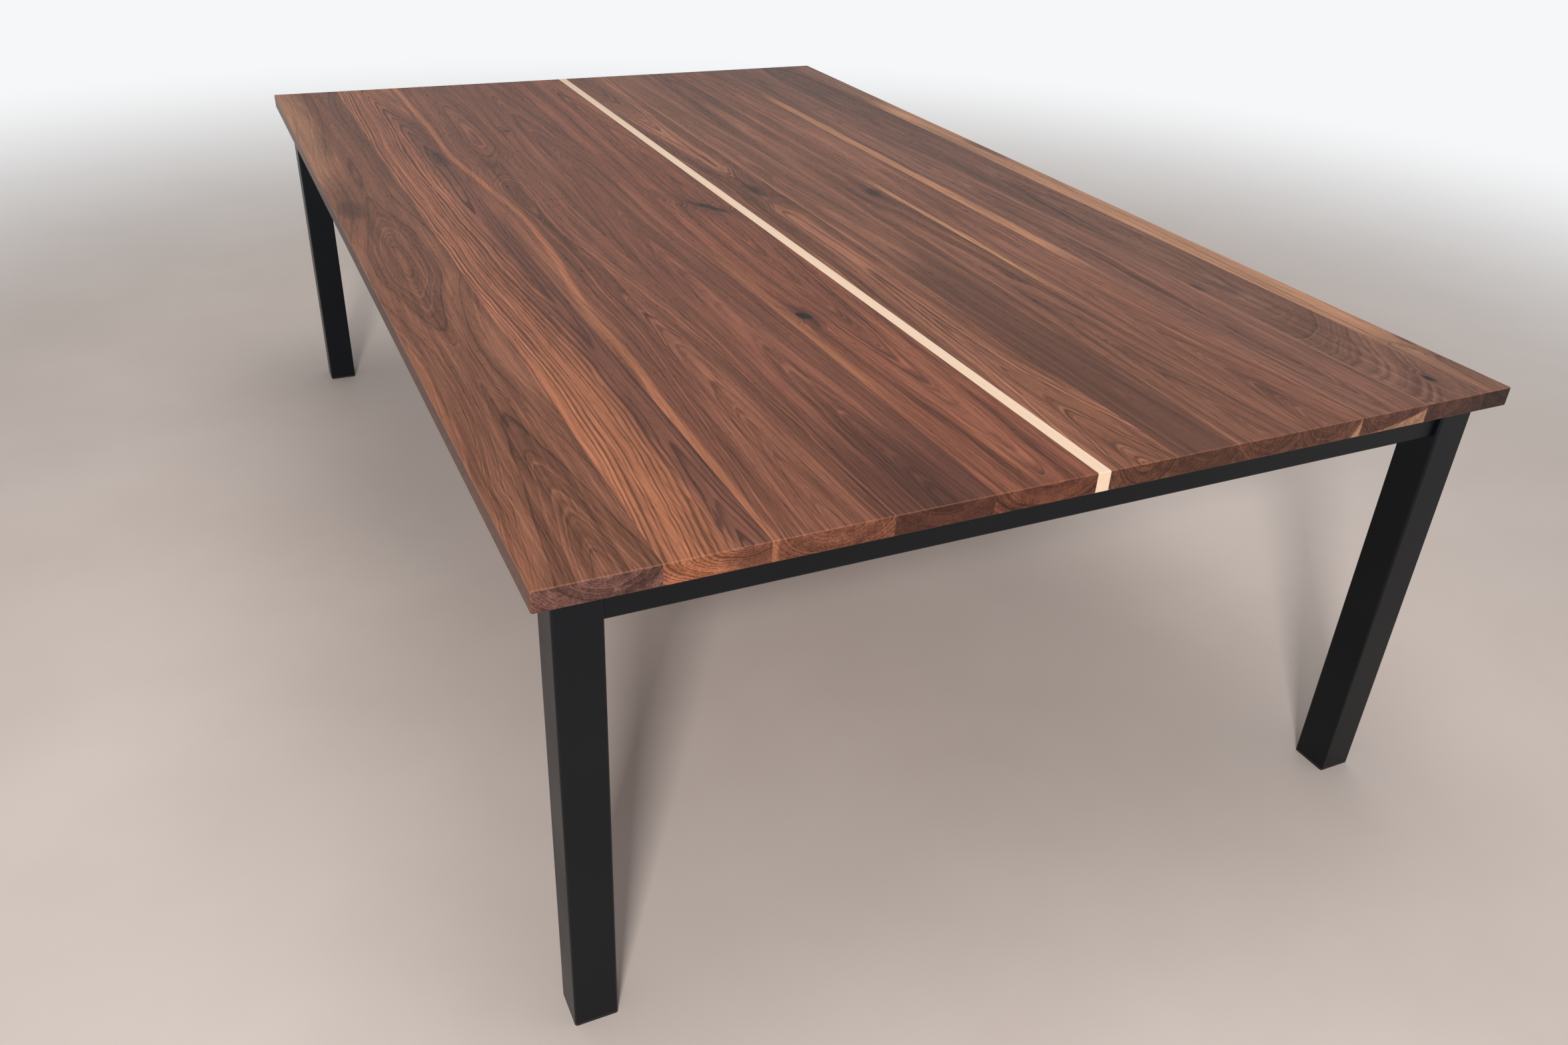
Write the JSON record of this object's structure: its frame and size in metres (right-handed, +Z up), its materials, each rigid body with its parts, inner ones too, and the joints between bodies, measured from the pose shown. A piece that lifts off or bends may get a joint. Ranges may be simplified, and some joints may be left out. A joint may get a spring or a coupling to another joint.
{
  "type": "plank table",
  "caption": "Rectangular table with an edge-glued walnut plank top, a pale maple strip down its middle, and a bolted black square-tube frame with corner legs.",
  "frame": {"origin": "on the floor, under the middle of the top", "axes": "+Z up, +Y along the boards from the front end to the back end, +X across the table to the right"},
  "size_m": [1.524, 2.4384, 0.762],
  "materials": {
    "walnut": "satin oil, long grain",
    "maple": "satin oil, plain grain",
    "black_steel": "satin black powder coat",
    "black_plastic": "fine matt moulding",
    "zinc_fastener": "bright zinc plate",
    "brass_insert": "turned brass"
  },
  "bodies": {
    "root": {"back_cross_rail": "black_steel", "back_cross_rail_left_flange": "black_steel", "back_cross_rail_right_flange": "black_steel", "back_cross_rail_tabs": "black_steel", "back_end_rail": "black_steel", "back_end_rail_left_flange": "black_steel", "back_end_rail_right_flange": "black_steel", "back_end_rail_tabs": "black_steel", "back_left_foot_plug": "black_plastic", "back_left_leg": "black_steel", "back_left_leg_plate": "black_steel", "back_right_foot_plug": "black_plastic", "back_right_leg": "black_steel", "back_right_leg_plate": "black_steel", "cross_rail_bolts": "zinc_fastener", "cross_rail_nuts": "zinc_fastener", "cross_rail_washers": "zinc_fastener", "front_cross_rail": "black_steel", "front_cross_rail_left_flange": "black_steel", "front_cross_rail_right_flange": "black_steel", "front_cross_rail_tabs": "black_steel", "front_end_rail": "black_steel", "front_end_rail_left_flange": "black_steel", "front_end_rail_right_flange": "black_steel", "front_end_rail_tabs": "black_steel", "front_left_foot_plug": "black_plastic", "front_left_leg": "black_steel", "front_left_leg_plate": "black_steel", "front_right_foot_plug": "black_plastic", "front_right_leg": "black_steel", "front_right_leg_plate": "black_steel", "left_side_rail": "black_steel", "left_side_rail_back_flange": "black_steel", "left_side_rail_front_flange": "black_steel", "left_side_rail_tabs": "black_steel", "left_walnut_board_1": "walnut", "left_walnut_board_2": "walnut", "left_walnut_board_3": "walnut", "left_walnut_board_4": "walnut", "left_walnut_board_5": "walnut", "leg_frame_bolts": "zinc_fastener", "leg_frame_nuts": "zinc_fastener", "leg_frame_washers": "zinc_fastener", "maple_strip": "maple", "right_side_rail": "black_steel", "right_side_rail_back_flange": "black_steel", "right_side_rail_front_flange": "black_steel", "right_side_rail_tabs": "black_steel", "right_walnut_board_1": "walnut", "right_walnut_board_2": "walnut", "right_walnut_board_3": "walnut", "right_walnut_board_4": "walnut", "right_walnut_board_5": "walnut", "right_walnut_board_6": "walnut", "right_walnut_board_7": "walnut", "threaded_inserts": "brass_insert", "top_bolts": "zinc_fastener", "top_washers": "zinc_fastener"}
  },
  "joints": []
}
